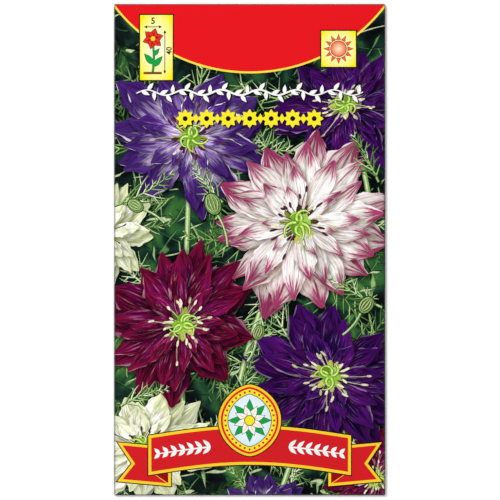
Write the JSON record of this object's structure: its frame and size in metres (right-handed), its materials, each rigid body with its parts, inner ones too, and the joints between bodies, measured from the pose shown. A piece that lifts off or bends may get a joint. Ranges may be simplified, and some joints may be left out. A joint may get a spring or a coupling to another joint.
{
  "type": "seed packet",
  "caption": "Flat printed paper seed packet, glued shut with flaps on the back, with a low swell near the bottom over the loose black seeds inside.",
  "frame": {"origin": "middle of the back of the packet, on the surface that it lies on", "axes": "+Z out of the printed front, +Y along the packet's height towards its top, +X to the right seen from the front"},
  "size_m": [0.08, 0.145, 0.0029],
  "materials": {
    "coated_paper": "gloss coated, printed on the outside, bare white inside",
    "paper_glue": "dried water-based adhesive, slightly translucent",
    "seed_coat": "dry, matt, finely wrinkled"
  },
  "bodies": {
    "root": {"sachet": "coated_paper", "seam_glue": "paper_glue", "bottom_flap_glue": "paper_glue", "top_flap_glue": "paper_glue", "seeds": "seed_coat"}
  },
  "joints": []
}
